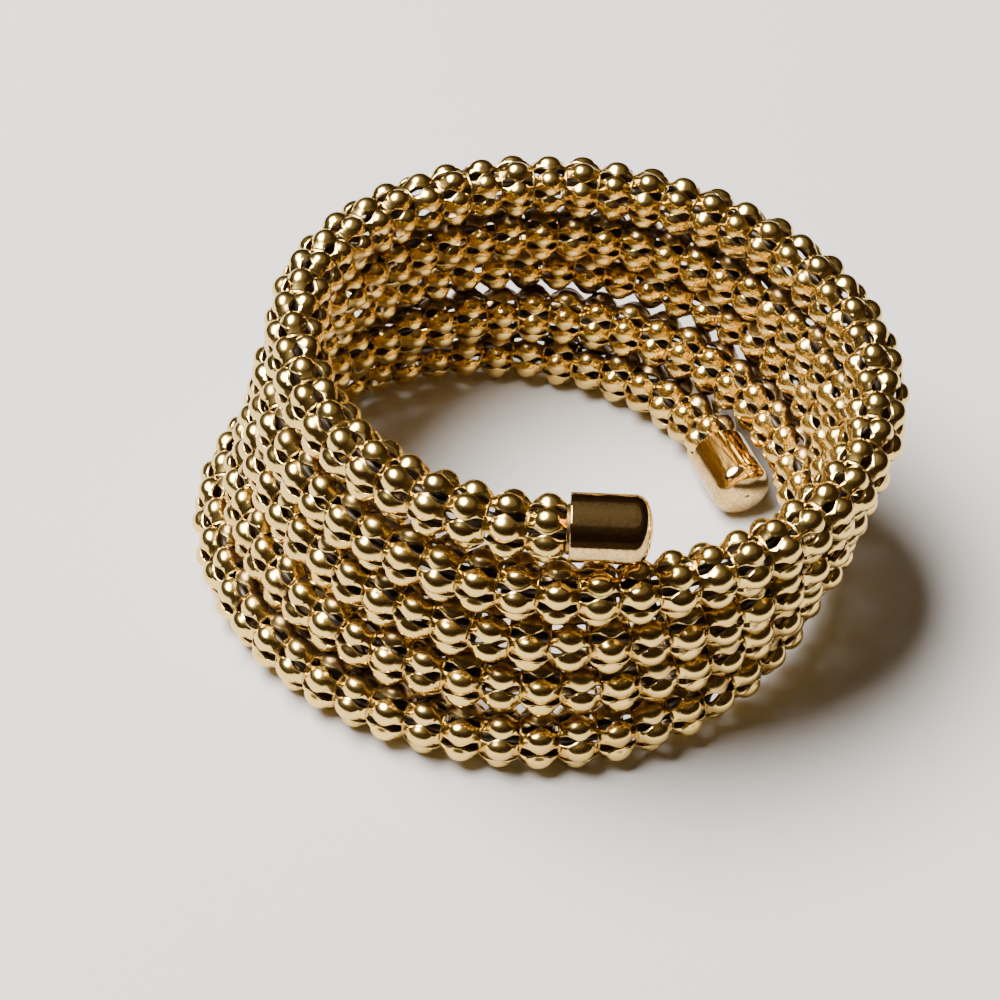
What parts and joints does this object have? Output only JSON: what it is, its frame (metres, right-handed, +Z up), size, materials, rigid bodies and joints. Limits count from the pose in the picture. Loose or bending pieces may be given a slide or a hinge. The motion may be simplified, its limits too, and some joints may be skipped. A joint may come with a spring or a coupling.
{
  "type": "spiral coil bracelet",
  "caption": "Gold-tone spiral coil bracelet: a hollow sleeve of domed links, strung ring by ring on a springy wire coil, with a smooth bullet-shaped cap on each end.",
  "frame": {"origin": "under the middle of the coil's outline seen from above, on the surface that the bracelet rests on", "axes": "+Z up along the wrist hollow, -Y towards the side where the top end and its cap lie, +X to the right seen from there"},
  "size_m": [0.0734, 0.0695, 0.0343],
  "materials": {
    "gold_links": "bright gold-tone plating, worn a little browner between the domes",
    "gold_caps": "polished gold-tone plating with a faint mottle",
    "spring_wire": "plain drawn spring steel"
  },
  "bodies": {
    "root": {"core_wire": "spring_wire", "mesh_sleeve": "gold_links", "top_end_cap": "gold_caps", "bottom_end_cap": "gold_caps"}
  },
  "joints": []
}
